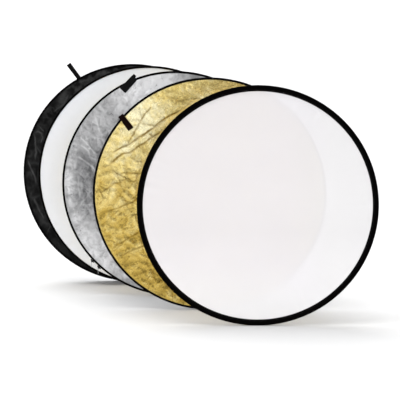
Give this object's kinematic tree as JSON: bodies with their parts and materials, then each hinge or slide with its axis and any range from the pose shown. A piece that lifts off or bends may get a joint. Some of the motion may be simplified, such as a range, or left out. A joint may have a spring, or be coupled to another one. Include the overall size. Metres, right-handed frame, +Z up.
{
  "type": "collapsible reflector disc",
  "caption": "Collapsible reflector set for photography: round spring-hoop discs, a translucent diffuser and zip-covered gold, silver, white and black faces with hanging straps, in a row.",
  "frame": {"origin": "on the floor, under the middle of the whole row's bounding box", "axes": "+Z up. The discs face -Y and lean back 3 degrees, and the row recedes towards -X and +Y. +X is the longest extent, +Y the shortest."},
  "size_m": [1.701, 1.0072, 1.104],
  "materials": {
    "diffuser_cloth": "thin translucent off-white nylon",
    "gold_foil": "creased metallised gold cloth",
    "silver_foil": "creased metallised silver cloth",
    "white_cloth": "matt white nylon",
    "black_cloth": "matt black nylon",
    "binding_tape": "black folded binding tape, sewn",
    "spring_steel": "blued spring-steel band",
    "splice_steel": "crimped plain steel",
    "zip_coil": "black nylon coil",
    "slider_metal": "black painted die-cast metal",
    "pull_metal": "bright nickel-plated metal",
    "webbing": "black woven webbing, folded double and sewn",
    "brown_webbing": "brown-black woven webbing, folded double and sewn"
  },
  "bodies": {
    "diffuser": {"diffuser_panel_left": "diffuser_cloth", "diffuser_binding_left": "binding_tape", "diffuser_hoop_left": "spring_steel", "diffuser_hoop_splice": "splice_steel"},
    "diffuser_right_half": {"diffuser_panel_right": "diffuser_cloth", "diffuser_binding_right": "binding_tape", "diffuser_hoop_right": "spring_steel"},
    "gold_disc": {"gold_front_panel": "gold_foil", "gold_back_panel": "silver_foil", "gold_front_binding": "binding_tape", "gold_back_binding": "binding_tape", "gold_zip_chain": "zip_coil", "gold_spring_hoop": "spring_steel", "gold_hoop_splice": "splice_steel", "gold_core_panel": "diffuser_cloth"},
    "gold_slider_a": {"gold_zip_slider_a": "slider_metal"},
    "gold_pull_a": {"gold_zip_pull_a": "pull_metal"},
    "gold_slider_b": {"gold_zip_slider_b": "slider_metal"},
    "gold_pull_b": {"gold_zip_pull_b": "pull_metal"},
    "gold_strap": {"gold_hang_strap": "brown_webbing"},
    "silver_disc": {"silver_front_panel": "silver_foil", "silver_back_panel": "gold_foil", "silver_front_binding": "binding_tape", "silver_back_binding": "binding_tape", "silver_zip_chain": "zip_coil", "silver_spring_hoop": "spring_steel", "silver_hoop_splice": "splice_steel", "silver_core_panel": "diffuser_cloth"},
    "silver_slider_a": {"silver_zip_slider_a": "slider_metal"},
    "silver_pull_a": {"silver_zip_pull_a": "pull_metal"},
    "silver_slider_b": {"silver_zip_slider_b": "slider_metal"},
    "silver_pull_b": {"silver_zip_pull_b": "pull_metal"},
    "silver_strap": {"silver_hang_strap": "webbing"},
    "white_disc": {"white_front_panel": "white_cloth", "white_back_panel": "black_cloth", "white_front_binding": "binding_tape", "white_back_binding": "binding_tape", "white_zip_chain": "zip_coil", "white_spring_hoop": "spring_steel", "white_hoop_splice": "splice_steel", "white_core_panel": "diffuser_cloth"},
    "white_slider_a": {"white_zip_slider_a": "slider_metal"},
    "white_pull_a": {"white_zip_pull_a": "pull_metal"},
    "white_slider_b": {"white_zip_slider_b": "slider_metal"},
    "white_pull_b": {"white_zip_pull_b": "pull_metal"},
    "white_strap": {"white_hang_strap": "webbing"},
    "black_disc": {"black_front_panel": "black_cloth", "black_back_panel": "white_cloth", "black_front_binding": "binding_tape", "black_back_binding": "binding_tape", "black_zip_chain": "zip_coil", "black_spring_hoop": "spring_steel", "black_hoop_splice": "splice_steel", "black_core_panel": "diffuser_cloth"},
    "black_slider_a": {"black_zip_slider_a": "slider_metal"},
    "black_pull_a": {"black_zip_pull_a": "pull_metal"},
    "black_slider_b": {"black_zip_slider_b": "slider_metal"},
    "black_pull_b": {"black_zip_pull_b": "pull_metal"},
    "black_strap": {"black_hang_strap": "webbing"}
  },
  "joints": [
    {"name": "diffuser_fold", "type": "hinge", "parent": "diffuser", "child": "diffuser_right_half", "pos_m": [0.3005, -0.47535, 0.54902], "axis": [0, -0.0523, -0.9986], "range_deg": [0, 150], "stiffness_Nm_per_rad": 1.5},
    {"name": "gold_lift", "type": "slide", "parent": "diffuser", "child": "gold_disc", "axis": [0, 0, 1], "range_m": [0, 1.15]},
    {"name": "gold_zip_a", "type": "hinge", "parent": "gold_disc", "child": "gold_slider_a", "pos_m": [0.0835, -0.15386, 0.54865], "axis": [0, -0.9986, 0.0523], "range_deg": [-92.5, 0]},
    {"name": "gold_pull_a_swing", "type": "hinge", "parent": "gold_slider_a", "child": "gold_pull_a", "pos_m": [0.46305, -0.17542, 0.13718], "axis": [0, -0.9986, 0.0523], "range_deg": [-45.35, 130.65]},
    {"name": "gold_zip_b", "type": "hinge", "parent": "gold_disc", "child": "gold_slider_b", "pos_m": [0.0835, -0.15386, 0.54865], "axis": [0, -0.9986, 0.0523], "range_deg": [0, 92.5]},
    {"name": "gold_pull_b_swing", "type": "hinge", "parent": "gold_slider_b", "child": "gold_pull_b", "pos_m": [0.49553, -0.17372, 0.16962], "axis": [0, -0.9986, 0.0523], "range_deg": [-40.65, 135.35]},
    {"name": "gold_strap_flap", "type": "hinge", "parent": "gold_disc", "child": "gold_strap", "pos_m": [-0.33163, -0.14269, 0.91844], "axis": [-0.7955, -0.0317, -0.6052], "range_deg": [0, 175]},
    {"name": "silver_lift", "type": "slide", "parent": "diffuser", "child": "silver_disc", "axis": [0, 0, 1], "range_m": [0, 1.15]},
    {"name": "silver_zip_a", "type": "hinge", "parent": "silver_disc", "child": "silver_slider_a", "pos_m": [-0.0815, 0.13314, 0.54865], "axis": [0, -0.9986, 0.0523], "range_deg": [-92.5, 0]},
    {"name": "silver_pull_a_swing", "type": "hinge", "parent": "silver_slider_a", "child": "silver_pull_a", "pos_m": [-0.49254, 0.11322, 0.16854], "axis": [0, -0.9986, 0.0523], "range_deg": [-135.2, 40.8]},
    {"name": "silver_zip_b", "type": "hinge", "parent": "silver_disc", "child": "silver_slider_b", "pos_m": [-0.0815, 0.13314, 0.54865], "axis": [0, -0.9986, 0.0523], "range_deg": [0, 92.5]},
    {"name": "silver_pull_b_swing", "type": "hinge", "parent": "silver_slider_b", "child": "silver_pull_b", "pos_m": [-0.45997, 0.11153, 0.13619], "axis": [0, -0.9986, 0.0523], "range_deg": [-130.5, 45.5]},
    {"name": "silver_strap_flap", "type": "hinge", "parent": "silver_disc", "child": "silver_strap", "pos_m": [-0.27292, 0.15233, 1.07143], "axis": [-0.7337, 0.0356, 0.6785], "range_deg": [0, 175]},
    {"name": "white_lift", "type": "slide", "parent": "diffuser", "child": "white_disc", "axis": [0, 0, 1], "range_m": [0, 1.15]},
    {"name": "white_zip_a", "type": "hinge", "parent": "white_disc", "child": "white_slider_a", "pos_m": [-0.2175, 0.37614, 0.54865], "axis": [0, -0.9986, 0.0523], "range_deg": [-92.5, 0]},
    {"name": "white_pull_a_swing", "type": "hinge", "parent": "white_slider_a", "child": "white_pull_a", "pos_m": [0.02499, 0.34971, 0.04434], "axis": [0, -0.9986, 0.0523], "range_deg": [-62.35, 113.65]},
    {"name": "white_zip_b", "type": "hinge", "parent": "white_disc", "child": "white_slider_b", "pos_m": [-0.2175, 0.37614, 0.54865], "axis": [0, -0.9986, 0.0523], "range_deg": [0, 92.5]},
    {"name": "white_pull_b_swing", "type": "hinge", "parent": "white_slider_b", "child": "white_pull_b", "pos_m": [0.06556, 0.35084, 0.06588], "axis": [0, -0.9986, 0.0523], "range_deg": [-57.65, 118.35]},
    {"name": "white_strap_flap", "type": "hinge", "parent": "white_disc", "child": "white_strap", "pos_m": [0.12481, 0.39088, 0.98661], "axis": [-0.866, 0.0262, 0.4993], "range_deg": [0, 175]},
    {"name": "black_lift", "type": "slide", "parent": "diffuser", "child": "black_disc", "axis": [0, 0, 1], "range_m": [0, 1.15]},
    {"name": "black_zip_a", "type": "hinge", "parent": "black_disc", "child": "black_slider_a", "pos_m": [-0.3005, 0.46814, 0.54865], "axis": [0, -0.9986, 0.0523], "range_deg": [-92.5, 0]},
    {"name": "black_pull_a_swing", "type": "hinge", "parent": "black_slider_a", "child": "black_pull_a", "pos_m": [0.21762, 0.45699, 0.33591], "axis": [0, -0.9986, 0.0523], "range_deg": [-20.35, 112]},
    {"name": "black_zip_b", "type": "hinge", "parent": "black_disc", "child": "black_slider_b", "pos_m": [-0.3005, 0.46814, 0.54865], "axis": [0, -0.9986, 0.0523], "range_deg": [0, 92.5]},
    {"name": "black_pull_b_swing", "type": "hinge", "parent": "black_slider_b", "child": "black_pull_b", "pos_m": [0.23333, 0.45925, 0.37903], "axis": [0, -0.9986, 0.0523], "range_deg": [-15.65, 160.35]},
    {"name": "black_strap_flap", "type": "hinge", "parent": "black_disc", "child": "black_strap", "pos_m": [-0.5699, 0.49337, 1.03001], "axis": [0.8729, 0.0255, 0.4872], "range_deg": [-90, 90]}
  ]
}
